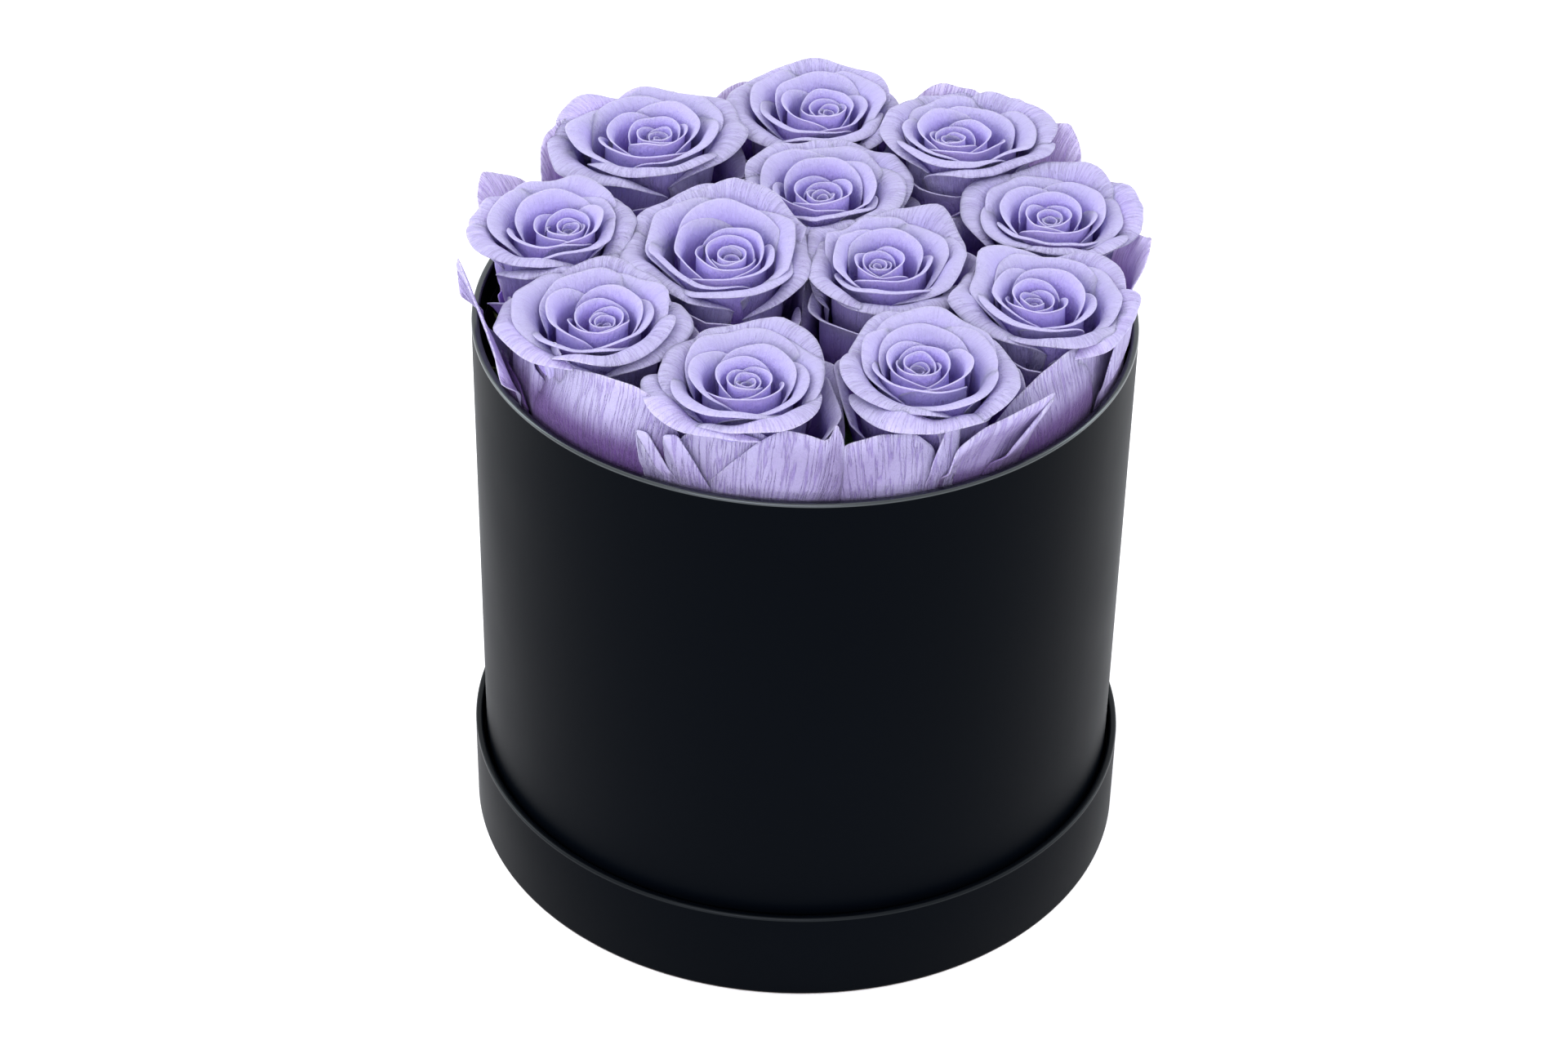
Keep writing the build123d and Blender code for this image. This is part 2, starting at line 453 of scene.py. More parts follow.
def foam_material() -> Material:
    """Floral foam: dull green, pitted all over with open cells that are darkened with painted
    shade.
    """
    green = (0.085, 0.170, 0.085)
    g = Graph("floral_foam")
    cells = (g.add("ShaderNodeTexVoronoi", {"Scale": 900.0}), "Distance")
    g.link(g.place, cells[0], "Vector")
    tone = g.mix(g.noise(60.0, 4.0), scaled(green, 0.7), green)
    # Painted shade in the open cells
    shaded_pits = g.mix(1.0, tone, g.ramp(cells, (0.05, 0.35), (0.45, 1.0)), "MULTIPLY")
    return g.finish(shaded_pits, g.bump(cells, 0.30), Roughness=0.95, Specular_IOR_Level=0.1)


def green_material(name: str) -> Material:
    """Dried leaf or stem: green with paler patches, streaked along Z."""
    green, pale = (0.085, 0.135, 0.035), (0.240, 0.260, 0.080)
    g = Graph(name)
    streak = g.noise((1400.0, 1400.0, 90.0), 4.0, 0.6)
    patch = g.ramp(g.noise(130.0, 3.0), (0.42, 0.0), (0.68, 1.0))
    streaks = g.ramp(streak, (0.35, 0.6), (0.6, 0.0))
    tone = g.mix(streaks, g.mix(patch, green, pale), scaled(green, 0.45))
    return g.finish(tone, g.bump(streak, 0.15), Roughness=0.62, Specular_IOR_Level=0.3)


def dress(piece: bpy.types.Object, *materials: Material) -> None:
    """Gives a piece these materials in order, in place of any it has."""
    piece.data.materials.clear()
    for material in materials:
        piece.data.materials.append(material)


def dress_nodes(material: Material, *nodes: str) -> None:
    """Gives CAD nodes one material."""
    for node in nodes:
        dress(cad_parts[node], material)


# --------------------
# Roses


class Layer(Enum):
    """The three groups of petals that each rose is made in."""

    HEART = "heart"
    CUP = "cup"
    GUARD = "guard"


@dataclass(frozen=True)
class Whorl:
    """A run of petals whose sizes change evenly from the first to the last.

    Each pair is the value of the first petal and of the last.

    Attributes:
        layer: The piece that the petals belong to.
        count: Number of petals.
        radius: Of the wall's top, in millimetres.
        height: Of the wall's top over the seat.
        half: Half of the angle that a petal spans.
        lip: Length of the part that rolls outwards.
        curl: Direction of the lip's end, 0 straight up and 90 flat outwards.
        drop: Share of the height lost at the petal's sides.
        point: Length of the tip.
        wave: How far the edge ripples.
        vein: Strength of the veins.
    """

    layer: Layer
    count: int
    radius: tuple[float, float]
    height: tuple[float, float]
    half: tuple[float, float]
    lip: tuple[float, float]
    curl: tuple[float, float]
    drop: tuple[float, float] = (0.05, 0.08)
    point: tuple[float, float] = (0.0, 0.0)
    wave: tuple[float, float] = (0.2, 0.4)
    vein: float = 0.3


WHORLS = (
    Whorl(Layer.HEART, 3, (1.8, 3.6), (46.5, 47.5), (175, 160), (0.9, 1.3), (0, 15),
          (0.01, 0.02), vein=0.0),
    Whorl(Layer.HEART, 3, (5.4, 8.2), (47.5, 47.5), (130, 112), (2.0, 3.4), (20, 42),
          (0.02, 0.03), vein=0.05),
    Whorl(Layer.CUP, 3, (10.8, 12.6), (46.5, 45.5), (92, 86), (6.0, 7.6), (55, 70),
          (0.02, 0.03), vein=0.15),
    Whorl(Layer.CUP, 4, (14.4, 16.8), (44.5, 44.0), (84, 78), (9.0, 11.0), (80, 98),
          (0.02, 0.04), (0.3, 1.6), (0.4, 0.65), 0.2),
    Whorl(Layer.CUP, 4, (18.0, 19.6), (43.8, 42.0), (74, 68), (13.0, 14.0), (108, 128),
          (0.03, 0.05), (1.0, 3.4), (0.6, 0.95), 0.5),
    Whorl(Layer.GUARD, 5, (22.5, 24.0), (36.5, 34.5), (52, 50), (8.5, 7.5), (50, 80),
          (0.05, 0.08), (0.3, 1.5), (0.3, 0.5), 0.4),
)


@dataclass(frozen=True)
class Petal:
    """One petal: a wall that rises from the seat and a lip that rolls out.

    It stands about its rose's axis, or, along the box's wall, about the box's.

    Attributes:
        turn: Direction of its middle from the axis.
        half: As in Whorl, and so are the fields from here to vein.
        tuck: How far its right side stands out and its left side in.
        flat: How much further out both sides stand, as a share of the radius.
        phase: Sets its ripples and veins apart from those of other petals.
        shift: How far its top stands off the axis, in X and Y.
        foot: Radius at the seat.
        bow: How soon the wall reaches its full radius, 1 for a straight rise.
        columns: Points across it.
        wall_rows: Points up its wall.
        lip_rows: Points along its lip.
    """

    turn: float
    half: float
    radius: float
    height: float
    lip: float
    curl: float
    drop: float = 0.05
    point: float = 0.0
    wave: float = 0.3
    vein: float = 1.0
    tuck: float = 0.0
    flat: float = -0.05
    phase: float = 0.0
    shift: tuple[float, float] = (0.0, 0.0)
    foot: float = 90.0
    bow: float = 2.3
    columns: int = 33
    wall_rows: int = 10
    lip_rows: int = 12

    def sheet(self) -> Sheet:
        """Works the petal out on its grid, about its axis.

        Across the petal u runs from -1 to 1. The wall's radius grows from
        the foot to its full size by 1 - (1 - h)^bow, where h is the height's
        share. The lip turns from the wall's slope to its end direction, and
        its points are the running sums of sine and cosine of that direction.
        One side stands further out than the other, so that neighbours
        overlap like a pinwheel.

        Returns:
            The petal in millimetres, its seat at height 0.
        """
        u = np.linspace(-1.0, 1.0, self.columns)[None, :]
        ripple = np.sin(1.9 * u * math.pi + self.phase)
        ripple = ripple + 0.5 * np.sin(3.7 * u * math.pi + 2.1 * self.phase)
        wall_r, wall_z, share, slope = self.wall(u, ripple)
        lip_r, lip_z = self.roll(u, ripple, slope)
        r = np.vstack([wall_r, wall_r[-1:] + lip_r])
        z = np.vstack([wall_z, wall_z[-1:] + lip_z])
        raised = np.vstack([share, np.ones_like(lip_r)])
        r = r + self.tuck * u * raised
        r = r * (1.0 + self.flat * (u ** 2 - 0.3) * raised)
        angle = np.radians(self.turn + self.half * u * (0.72 + 0.28 * raised))
        points = polar(r, angle, z, self.shift[0] * raised, self.shift[1] * raised)
        along = lengths_up(points)
        rest = along[-1:] - along
        side = (1.0 - np.abs(u)) * math.radians(self.half) * self.radius
        rim = 1.0 - smooth(np.minimum(rest, side) / 1.6)
        # The free edge is paler; the band over the whole rolled lip is a painted highlight
        edge = np.maximum(rim, 0.9 - 0.9 * smooth(rest / self.lip))
        # Painted shade low down in the flower and below the lip: veined petals less so
        low = smooth((49.0 - 11.0 * self.vein - z) / (25.0 - 9.0 * self.vein))
        under = smooth((rest - 0.6 * self.lip - 0.4) / 14.0)
        painted_shade = np.maximum((1.0 - 0.1 * self.vein) * low, (0.90 - 0.85 * self.vein) * under)
        across = u * math.radians(self.half) * (self.radius + self.lip) + 90.0 * self.phase
        return Sheet(points, np.broadcast_to(across, along.shape), along, painted_shade, edge,
                     np.full_like(along, self.vein))

    def wall(self, u: Array, ripple: Array) -> tuple[Array, Array, Array, Array]:
        """Radius, height and height's share on the wall, and its top's slope."""
        top = 1.0 - self.drop * np.abs(u) ** 3 + 0.010 * self.wave * ripple
        rise = np.linspace(0.0, 1.0, self.wall_rows)[:, None] ** 0.8
        share = np.clip(rise * top, 0.0, 1.02)
        left = np.clip(1.0 - share, 0.0, 1.0)
        out = self.radius - self.foot
        slope = np.arctan(self.bow * out * left[-1:] ** (self.bow - 1.0) / self.height)
        return self.foot + out * (1.0 - left ** self.bow), self.height * share, share, slope

    def roll(self, u: Array, ripple: Array, slope: Array) -> tuple[Array, Array]:
        """How far out and up the lip's points are from the wall's top."""
        length = self.lip * (1.0 - 0.98 * np.abs(u) ** 2.7) ** 0.8
        length = length * (1.0 + 0.08 * self.wave * ripple)
        length = length + self.point * np.clip(1.0 - np.abs(u + 0.1) / 0.34, 0.0, 1.0) ** 1.6
        end = self.curl * (1.0 - 0.35 * u ** 2)
        end = np.radians(end + 9.0 * self.wave * np.sin(1.7 * u * math.pi + 1.3 * self.phase))
        step = np.linspace(0.0, 1.0, self.lip_rows + 1)[1:, None]
        bend = slope + (end - slope) * step ** 1.25
        return tuple(np.cumsum(turned, axis=0) * length / self.lip_rows
                     for turned in (np.sin(bend), np.cos(bend)))


@dataclass(frozen=True)
class RoseStyle:
    """What makes one rose differ from the next.

    Attributes:
        seed: Of the small differences between its petals.
        turn: Angle of its first petal.
        hand: 1 or -1, the way that its spiral winds.
        lean: Degrees that its face tips towards the direction below.
        towards: That direction, degrees from +X.
        heart: Millimetres that the heart stands off the axis, in X and Y.
        tight: Share of its usual radius that the heart keeps.
        size: Of the whole rose beside the usual one.
    """

    seed: int
    turn: float
    hand: int
    lean: float
    towards: float
    heart: tuple[float, float]
    tight: float
    size: float


# Turn, hand, lean, towards, heart, tight and size of each rose
STYLE_ROWS = (
    (20, 1, 3, -95, (0.5, 0.5), 1.0, 0.97),
    (75, 1, 5, -70, (-3.5, 2.0), 1.25, 0.95),
    (140, 1, 4, -40, (-4.5, -1.0), 1.0, 1.0),
    (200, -1, 3, -60, (0.0, -1.0), 1.1, 0.98),
    (260, 1, 2, 60, (-5.5, -2.0), 1.1, 1.0),
    (310, 1, -2, 90, (3.5, 0.0), 0.9, 1.02),
    (35, -1, 2, 180, (4.5, 1.0), 1.0, 1.1),
    (95, 1, 3, -120, (5.0, 0.0), 1.1, 0.92),
    (155, 1, 4, -120, (3.0, -2.0), 1.1, 0.98),
    (215, 1, 4, -90, (0.5, -2.5), 1.2, 0.96),
    (270, 1, 6, -90, (3.0, -2.5), 1.2, 1.12),
    (330, -1, 3, -90, (-3.0, 0.0), 0.9, 1.0),
)
STYLES = {number: RoseStyle(10 + number, *row) for number, row in enumerate(STYLE_ROWS, 1)}


@dataclass(frozen=True)
class WallPetal:
    """A petal that stands along the box's wall, drawn by its free edge.

    Attributes:
        outline: The free edge from its left end to its right end, each point
            degrees round the box's axis and millimetres over the seat.
        radius: From the box's axis to its foot.
        lean: How much further out its top stands.
        bulge: How far its middle swells out.
        roll: How far its side edges turn in.
        lip: How far the last part of its height turns out, less than 0 for in.
        crease: Depth of the folds that run up it.
        low_shade: How dark the painted shade at its foot is, from 0 to 1.
        light: Height over the seat at which that painted shade has faded.
        under: How dark the painted shade below its edge is, from 0 to 1.
        tilt: How much of that goes to its right, or to its left if less than 0.
        vein: How strongly its veins stand out.
        phase: Sets its ripples and veins apart from those of other petals.
        columns: Points across it.
        rows: Points up it.
    """

    outline: tuple[tuple[float, float], ...]
    radius: float = 94.5
    lean: float = 1.0
    bulge: float = 1.5
    roll: float = 2.0
    lip: float = 0.0
    crease: float = 0.0
    low_shade: float = 0.6
    light: float = 38.0
    under: float = 0.0
    tilt: float = 0.0
    vein: float = 1.0
    phase: float = 0.0
    columns: int = 57
    rows: int = 30

    @classmethod
    def rounded(cls, turn: float, half: float, top: float, **rest: float) -> "WallPetal":
        """A petal with an even round top.

        Args:
            turn: Degrees of its middle.
            half: Degrees from there to either side.
            top: Its height over the seat.
            rest: Further attributes.

        Returns:
            The petal, its sides starting just under the rim.
        """
        across = (-1.0, -0.95, -0.78, -0.45, 0.0, 0.45, 0.78, 0.95, 1.0)
        up = (0.0, 0.42, 0.74, 0.93, 1.0, 0.96, 0.80, 0.46, 0.0)
        low = 22.0
        outline = ((turn + half * x, low + (top - low) * y) for x, y in zip(across, up))
        return cls(tuple(outline), **rest)

    def edge_line(self) -> Array:
        """The outline in millimetres, evenly spaced, its corners softened.

        Returns:
            Distances round the box and heights, 2 by columns.
        """
        samples, window, margin = 201, 21, 0.05
        corners = np.array(self.outline) * (math.radians(1.0) * self.radius, 1.0)
        run = np.append(0.0, np.cumsum(np.linalg.norm(np.diff(corners, axis=0), axis=1)))
        at = np.linspace(-margin, 1.0 + margin, samples + window - 1)
        at = np.clip(at, 0.0, 1.0) * run[-1]
        weights = np.hanning(window + 2)[1:-1] / np.hanning(window + 2).sum()
        fine = [np.convolve(np.interp(at, run, corners[:, k]), weights, "valid") for k in (0, 1)]
        spots = np.linspace(0.0, 1.0, self.columns)
        return np.stack([np.interp(spots, np.linspace(0.0, 1.0, samples), line) for line in fine])

    def sheet(self) -> Sheet:
        """Stretches the petal from its foot on the seat up to its free edge.

        Returns:
            The petal in millimetres about the box's axis, its seat at height 0.
        """
        u = np.linspace(-1.0, 1.0, self.columns)[None, :]
        v = np.linspace(0.0, 1.0, self.rows)[:, None]
        top = self.edge_line()
        half = (top[0, -1] - top[0, 0]) / 2
        foot = (top[0, -1] + top[0, 0]) / 2 + 0.8 * u * half
        arc = foot + (top[0] - foot) * (1.0 - (1.0 - v) ** 1.7)
        z = top[1] * v
        fold = np.abs((1.6 * u + self.phase) % 1.0 - 0.5) - 0.25
        r = self.radius + self.lean * v ** 2 + self.bulge * (1.0 - u ** 2) * np.sin(math.pi * v)
        r = r - self.roll * np.abs(u) ** 4 + self.lip * smooth((v - 0.62) / 0.38) ** 1.5
        r = r + self.crease * 4.0 * fold * smooth(v / 0.7)
        r = r + 0.35 * np.sin(4.3 * u + 5.0 * self.phase) * np.sin(5.0 * v + self.phase) * smooth(v)
        points = polar(r, arc / self.radius, z)
        along = lengths_up(points)
        width = max(np.ptp(top[0]), 8.0)
        side = (1.0 - np.abs(u)) * width / 2
        rest = along[-1:] - along
        edge = 1.0 - smooth(np.minimum(rest, side) / 1.4)
        # Painted shade at the foot, fading out by the light height
        painted_shade = self.low_shade * smooth((self.light - z + 1.5 * np.sin(3.0 * u + self.phase)) / 13.0)
        # Painted shade below the free edge, leaning to one side by tilt
        shadow = self.under * np.clip(1.0 - abs(self.tilt) / 2 + 0.8 * self.tilt * u, 0.0, 1.0)
        painted_shade = np.maximum(painted_shade, shadow * smooth((rest - 1.5) / 6.0))
        across = np.broadcast_to(0.62 * u * width + 90.0 * self.phase, along.shape)
        return Sheet(points, across, along, painted_shade, edge, np.full_like(along, self.vein))


# A petal at the back, in the order turn, half, radius, height, lip and curl
rear = partial(Petal, vein=0.9)

# The petals along the box's wall, by the rose that they belong to
WALL_PETALS: dict[int, tuple[WallPetal | Petal, ...]] = {
    1: (
        WallPetal(((-112, 24), (-113, 34), (-111, 40), (-105, 44), (-99, 46), (-95, 42), (-94, 24)),
                  radius=92.5, low_shade=0.3, phase=2.2),
        WallPetal(((-112.5, 22), (-115.5, 30), (-119.3, 39.5), (-116.8, 40), (-114, 33),
                   (-110.3, 22)),
                  radius=96.5, bulge=0.6, roll=1.2, low_shade=0.4, phase=0.4),
        WallPetal(((-109.0, 22), (-111.8, 31), (-114.3, 40), (-111.5, 41.5), (-108.3, 33),
                   (-105, 22)),
                  radius=95.6, bulge=0.6, roll=1.6, low_shade=0.4, under=0.2, phase=1.3),
        WallPetal(((-107, 25), (-102, 35), (-97.5, 43), (-93.5, 47.5), (-89, 45.5), (-86, 43),
                   (-84.6, 50), (-83.2, 43), (-83.4, 32), (-84.5, 23)),
                  radius=95.5, lean=1.5, bulge=2.0, roll=0.6, lip=-2.0, low_shade=0.3, under=0.6,
                  tilt=1.0, phase=3.3),
    ),
    2: (
        WallPetal(((-86, 24), (-85.5, 36), (-83, 42), (-77, 44.5), (-71, 43), (-67.5, 37),
                   (-66, 24)),
                  radius=94.6, lean=1.5, lip=-1.0, low_shade=0.3, under=0.55, tilt=-1.0, phase=4.1),
        WallPetal(((-69.5, 23), (-68.2, 34), (-65.5, 46), (-63.4, 47.5), (-63.6, 40), (-65.5, 24)),
                  radius=96.3, bulge=0.4, roll=0.4, low_shade=0.5, phase=5.2),
        WallPetal(((-67, 24), (-65, 39), (-60.5, 44), (-53, 46), (-45.5, 46.5), (-49.5, 40.5),
                   (-54.5, 33), (-58.5, 24)),
                  radius=93.8, lean=4.0, roll=1.0, lip=3.5, low_shade=0.9, under=0.55, phase=6.0),
    ),
    3: (
        WallPetal.rounded(-25.0, 13.0, 46.0, radius=92.0, low_shade=0.6, under=0.4, phase=7.2),
        WallPetal(((-59, 24), (-55, 35), (-50, 42), (-43, 46.5), (-35, 48), (-29.5, 45),
                   (-26.2, 36), (-24.5, 26)),
                  radius=93.6, bulge=2.0, lip=-3.0, low_shade=1.0, light=41.0, under=0.35, phase=6.9),
        WallPetal(((-28, 25), (-26.5, 36), (-23, 45), (-19.5, 48), (-15.5, 44), (-11, 36),
                   (-9, 24)),
                  radius=95.2, lean=3.0, low_shade=0.7, under=0.2, phase=7.7),
    ),
    4: (
        rear(4.0, 10.0, 96.0, 32.0, 15.0, 35, point=3.0, tuck=-1.0, phase=8.3),
        rear(21.0, 11.0, 94.5, 33.0, 16.0, 50, point=2.5, tuck=1.0, phase=9.1),
    ),
    5: (
        rear(38.0, 13.0, 91.5, 34.0, 18.0, 48, point=1.5, tuck=-1.0, phase=9.8),
        rear(60.0, 12.0, 91.5, 34.0, 17.0, 35, tuck=1.0, phase=10.6),
    ),
    6: (
        rear(82.0, 13.0, 93.5, 33.0, 14.0, 30, point=1.5, tuck=-1.0, phase=11.2),
        rear(101.0, 11.0, 93.5, 33.0, 13.0, 25, point=1.0, tuck=1.0, phase=12.0),
    ),
    7: (
        rear(123.0, 13.0, 91.5, 34.0, 16.0, 30, point=1.0, tuck=-1.0, phase=12.9),
        rear(142.0, 12.0, 91.5, 34.0, 16.0, 40, point=1.0, tuck=1.0, phase=13.5),
    ),
    8: (
        rear(165.0, 13.0, 94.5, 32.0, 16.0, 45, point=3.0, tuck=-1.0, phase=14.4),
        WallPetal(((-176, 24), (-174.5, 40), (-168, 51), (-160, 52), (-153, 48), (-149, 40),
                   (-148, 24)),
                  radius=92.0, lean=12.0, low_shade=0.3, phase=15.1),
    ),
    9: (
        WallPetal.rounded(-158.0, 12.0, 44.0, radius=89.0, low_shade=0.6, under=0.4, phase=15.3),
        WallPetal(((-157, 32), (-154, 32), (-150, 28), (-146, 22)),
                  radius=95.0, roll=0.0, low_shade=1.0, light=46.0, phase=15.8),
        WallPetal(((-158, 24), (-156.5, 35), (-151, 40), (-147, 40), (-143, 34), (-141, 24)),
                  radius=92.5, crease=1.0, low_shade=0.9, light=41.0, phase=16.4),
        WallPetal(((-148, 24), (-145.5, 38), (-140, 50), (-135.5, 45), (-128, 46), (-124, 34)),
                  radius=91.5, crease=1.0, low_shade=0.8, light=47.0, phase=16.9),
        WallPetal(((-147, 22), (-145.5, 31), (-141, 39), (-135, 45), (-128, 48), (-120.5, 49),
                   (-115, 46), (-112, 36), (-111, 24)),
                  radius=95.6, bulge=1.0, lip=-3.5, low_shade=1.0, light=42.0, phase=17.3),
    ),
}


# A guard petal that faces the wall, low enough to stay behind the wall's petals
LOW_GUARD = {"height": 24.0, "lip": 6.0, "curl": 25.0}


@dataclass
class Rose:
    """One preserved rose, in the room that its neighbours leave it.

    Attributes:
        number: 1 to 12, as in the CAD model's names.
        centres: The axes of all the roses, 12 by 2.
        rim: Height of the box's rim.
        mouth: Clear radius of the box's mouth.
        style: What sets this rose apart.
        spread: Radius of a rose that stands free.
        gap: Room left between two roses, less than 0 where soft lips cross.
        overhang: How far petals may reach past the mouth, over the rim.
        thickness: Of a petal.
        soft: Width of the rounding where a petal meets a limit.
    """

    number: int
    centres: Array
    rim: float
    mouth: float
    style: RoseStyle
    spread: float = 28.0
    gap: float = -3.0
    overhang: float = 8.0
    thickness: float = 0.4
    soft: float = 0.5

    @property
    def name(self) -> str:
        """The rose's body in the CAD model."""
        return f"rose_{self.number:02d}"

    @property
    def centre(self) -> Array:
        """The rose's axis, in millimetres."""
        return self.centres[self.number - 1]

    @property
    def seat(self) -> float:
        """Height of the underside of the petals."""
        return float(corners_mm(f"{self.name}_bloom")[0][2])

    def petals(self, layer: Layer) -> list[Petal]:
        """The petals of one layer, each a golden angle on from the last.

        Args:
            layer: Which group to make.

        Returns:
            The petals, from the innermost outwards.
        """
        rng = np.random.default_rng(self.style.seed)
        made = []
        turn = self.style.turn
        for whorl in WHORLS:
            for index in range(whorl.count):
                share = index / max(whorl.count - 1, 1)
                turn += self.style.hand * (GOLDEN_ANGLE + rng.uniform(-9, 9))
                chance = rng.uniform(-1.0, 1.0, 8)
                if whorl.layer is layer:
                    petal = self.petal(whorl, share, turn, chance)
                    low = LOW_GUARD if self.screened(layer, turn) else {}
                    made.append(replace(petal, **low))
        return made

    def screened(self, layer: Layer, turn: float) -> bool:
        """Whether a petal is a guard that faces the wall, behind the wall's petals."""
        outward = math.atan2(self.centre[1], self.centre[0])
        sideways = 0.1
        facing = math.cos(math.radians(turn) - outward) > sideways
        return layer is Layer.GUARD and self.number in WALL_PETALS and facing

    def petal(self, whorl: Whorl, share: float, turn: float, chance: Array) -> Petal:
        """One petal of a whorl, varied by eight numbers from -1 to 1.

        Args:
            whorl: The run of petals that it is in.
            share: How far along the run it is, from 0 to 1.
            turn: Its direction.
            chance: The eight numbers.

        Returns:
            The petal, about the rose's own axis.
        """

        def between(pair: tuple[float, float]) -> float:
            return pair[0] + (pair[1] - pair[0]) * share

        heart_ends = 19.0
        radius = between(whorl.radius)
        inner = float(1.0 - smooth(np.array(radius / heart_ends)))
        radius = self.style.size * radius * (1.0 + (self.style.tight - 1.0) * inner)
        return Petal(
            turn=turn,
            half=between(whorl.half) * (1.0 + 0.06 * chance[0]),
            radius=radius * (1.0 + 0.03 * chance[1]),
            height=between(whorl.height) + 0.7 * chance[2],
            lip=between(whorl.lip) * (1.0 + 0.12 * chance[3]),
            curl=between(whorl.curl) + 7.0 * chance[4],
            drop=between(whorl.drop),
            point=between(whorl.point) * (1.0 + 0.5 * chance[5]),
            wave=between(whorl.wave) * (1.0 + 0.4 * chance[6]),
            vein=whorl.vein,
            tuck=-self.style.hand * (0.35 + 0.045 * radius),
            flat=0.06 * (1.0 - inner) + 0.03 * chance[7],
            phase=3.0 * (1.0 + chance[0]) + 1.7 * chance[5] + 0.37 * turn,
            shift=(self.style.heart[0] * inner, self.style.heart[1] * inner),
            foot=1.2 + 0.26 * radius,
        )

    def reach(self, angle: Array) -> Array:
        """How far the rose may reach each way before it meets a neighbour.

        The reach is the least, over the roses round it, of this rose's share
        of the way to that rose divided by the cosine of the angle between.

        Args:
            angle: Directions from the rose's axis, in radians.

        Returns:
            Distances, of the same shape.
        """
        out = np.full(angle.shape, 1.4 * self.spread * self.style.size)
        for number, style in STYLES.items():
            if number == self.number:
                continue
            share = self.style.size / (self.style.size + style.size)
            across = self.centres[number - 1] - self.centre
            apart = np.linalg.norm(across)
            cosine = np.cos(angle - math.atan2(across[1], across[0]))
            bound = (apart - self.gap) * share / np.maximum(cosine, 1e-3)
            out = np.where(cosine > 0.05, np.minimum(out, bound), out)
        return out

    def settle(self, sheet: Sheet, widest: float) -> Sheet:
        """Leans a petal with the face and presses it into the rose's room.

        The face leans as a shear of its height. Radii are then stretched
        towards the room's outline and held inside it, and last the whole is
        held inside the box's mouth, or just past it above the rim.

        Args:
            sheet: A petal about the rose's axis, with its seat at height 0.
            widest: The most that a radius is stretched, as a share.

        Returns:
            The same petal in its place in the box.
        """
        x, y, z = np.moveaxis(sheet.points, -1, 0)
        way = math.radians(self.style.towards)
        face_height = 46.0
        ahead = x * math.cos(way) + y * math.sin(way)
        z = z - math.tan(math.radians(self.style.lean)) * ahead * smooth(z / face_height)
        r, angle = np.hypot(x, y), np.arctan2(y, x)
        room = self.reach(angle)
        spread = self.spread * self.style.size
        stretch = np.minimum(room / spread, widest) - 1.0
        r = r * (1.0 + stretch * smooth(r / spread))
        sheet.points = polar(soft_limit(r, room, self.soft), angle, z, *self.centre)
        return self.stand(sheet, clear=8.0, spill=30.0)

    def stand(self, sheet: Sheet, clear: float = 0.6, spill: float = 9.0) -> Sheet:
        """Raises a petal to its seat and holds it inside the box's mouth.

        Args:
            sheet: A petal about the box's axis, with its seat at height 0.
            clear: Room left between the petal and the mouth.
            spill: Height over the rim at which it may reach its full overhang.

        Returns:
            The same petal, reaching past the mouth only over the rim.
        """
        x, y, z = np.moveaxis(sheet.points, -1, 0)
        z = z + self.seat
        over_rim = smooth((z - self.rim - 1.0) / spill)
        limit = self.mouth - clear + (self.overhang + clear) * over_rim
        out = soft_limit(np.hypot(x, y), limit, self.soft)
        sheet.points = polar(out, np.arctan2(y, x), z)
        return sheet

    def gather(self, sheet: Sheet, height: float = 20.0) -> Sheet:
        """Draws the foot of a wall petal in to the rose's own receptacle.

        Args:
            sheet: A petal about the box's axis, with its seat at height 0.
            height: Where the drawing in ends, still under the box's rim.

        Returns:
            The same petal, its foot close round the rose's axis.
        """
        foot_share = 0.12
        spread = np.sqrt(smooth(sheet.points[..., 2:] / height))
        spread = foot_share + (1.0 - foot_share) * spread
        sheet.points[..., :2] = self.centre + (sheet.points[..., :2] - self.centre) * spread
        return self.stand(sheet)

    def build(self, finish: Material) -> None:
        """Makes the rose's three pieces, which stand for the CAD bloom."""
        for layer in Layer:
            widest = 1.15 if layer is Layer.GUARD else 1.0
            sheets = [self.settle(petal.sheet(), widest) for petal in self.petals(layer)]
            if layer is Layer.GUARD:
                walls = WALL_PETALS.get(self.number, ())
                sheets += [self.gather(petal.sheet()) for petal in walls]
            piece = join_sheets(f"{self.name}_{layer.value}_petals", sheets)
            wall = piece.modifiers.new("thickness", "SOLIDIFY")
            wall.thickness = self.thickness * MM
            wall.offset = 0.0
            dress(piece, finish)
            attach(piece, self.name)
            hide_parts(f"{self.name}_bloom")
        LOG.info("%s: built", self.name)


def build_roses(count: int = 12) -> None:
    """Builds every rose and dresses the CAD calyxes and stems."""
    stems = [corners_mm(f"rose_{n:02d}_stem") for n in range(1, count + 1)]
    centres = np.array([(low + high)[:2] / 2 for low, high in stems])
    rim = corners_mm("box_wall_wrap")[1][2]
    mouth = corners_mm("foam_disc")[1][0]
    petal = PetalFinish().material()
    leaf, stem = green_material("sepal_green"), green_material("stem_green")
    for number in range(1, count + 1):
        rose = Rose(number, centres, rim, mouth, STYLES[number])
        rose.build(petal)
        dress_nodes(leaf, f"{rose.name}_calyx")
        dress_nodes(stem, f"{rose.name}_stem")


# --------------------
# Box and lid


